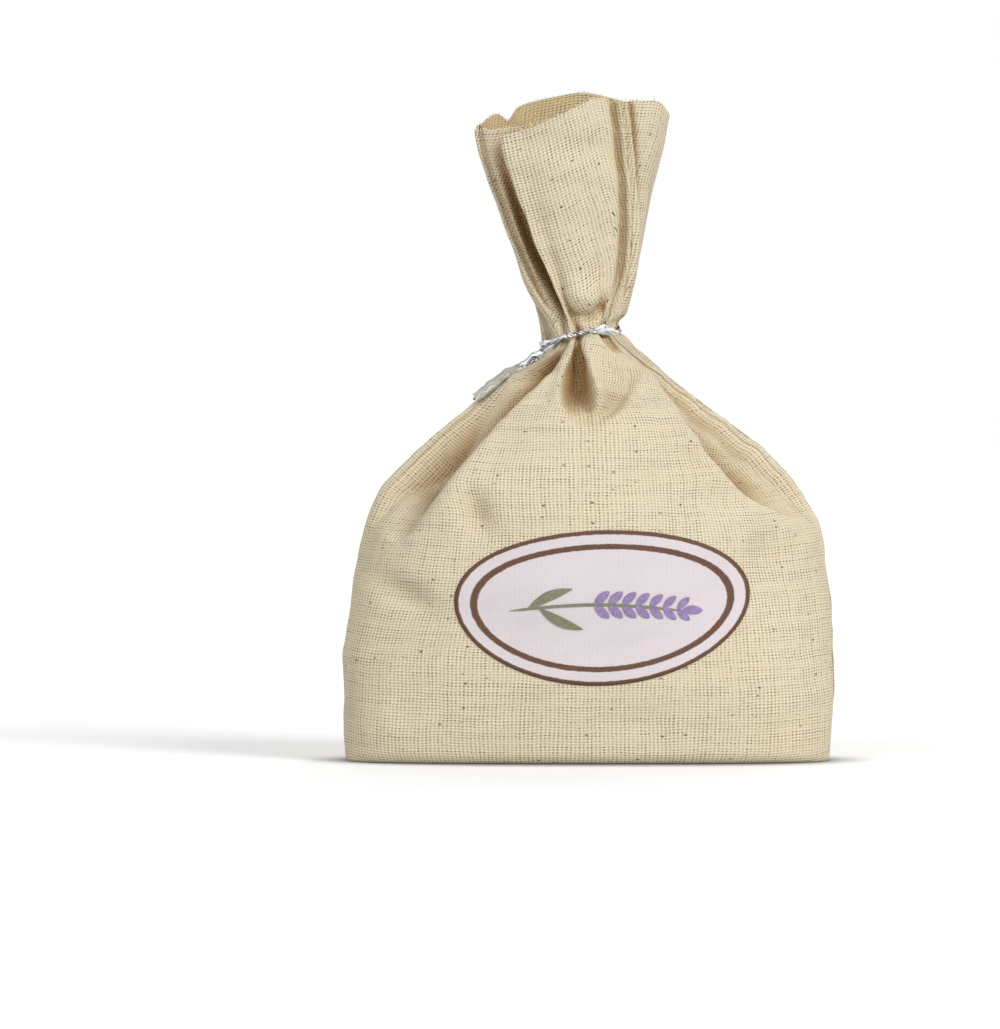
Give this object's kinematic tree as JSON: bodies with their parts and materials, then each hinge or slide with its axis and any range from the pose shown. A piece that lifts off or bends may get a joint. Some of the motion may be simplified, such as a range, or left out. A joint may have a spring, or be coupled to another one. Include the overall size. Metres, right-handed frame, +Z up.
{
  "type": "lavender sachet",
  "caption": "Filled cotton scent sachet with sewn side and base seams, an oval front label and a gathered neck closed by a silver wired twist tie.",
  "frame": {"origin": "on the floor under the middle of the pouch", "axes": "+Z up along the pouch, +X to the right as the label is read, the front faces -Y"},
  "size_m": [0.1002, 0.0457, 0.136],
  "materials": {
    "cotton": "unbleached open plain weave",
    "seam": "bound cloth edges",
    "flowers": "loose dried buds",
    "print": "thin matt transfer film",
    "foil": "silver metallised film",
    "wire": "annealed wire"
  },
  "bodies": {
    "sachet": {"front_panel": "cotton", "back_panel": "cotton", "left_seam": "seam", "right_seam": "seam", "base_seam": "seam", "lavender_fill": "flowers", "oval_label": "print"},
    "tie": {"tie_loop": "foil", "tie_loop_wire": "wire", "tie_twist": "foil"},
    "front_tail": {"front_tail": "foil", "front_tail_wire": "wire"},
    "back_tail": {"back_tail": "foil", "back_tail_wire": "wire"}
  },
  "joints": [
    {"name": "tie_turn", "type": "hinge", "parent": "sachet", "child": "tie", "pos_m": [-0.00135, 0, 0.088], "axis": [-0.2079, 0, 0.9781], "range_deg": [-30, 30]},
    {"name": "front_tail_bend", "type": "hinge", "parent": "tie", "child": "front_tail", "pos_m": [-0.0151, -0.0024, 0.08247], "axis": [0, 1, 0], "range_deg": [0, 90]},
    {"name": "back_tail_bend", "type": "hinge", "parent": "tie", "child": "back_tail", "pos_m": [-0.0151, 0.0024, 0.08247], "axis": [0, 1, 0], "range_deg": [0, 90]}
  ]
}
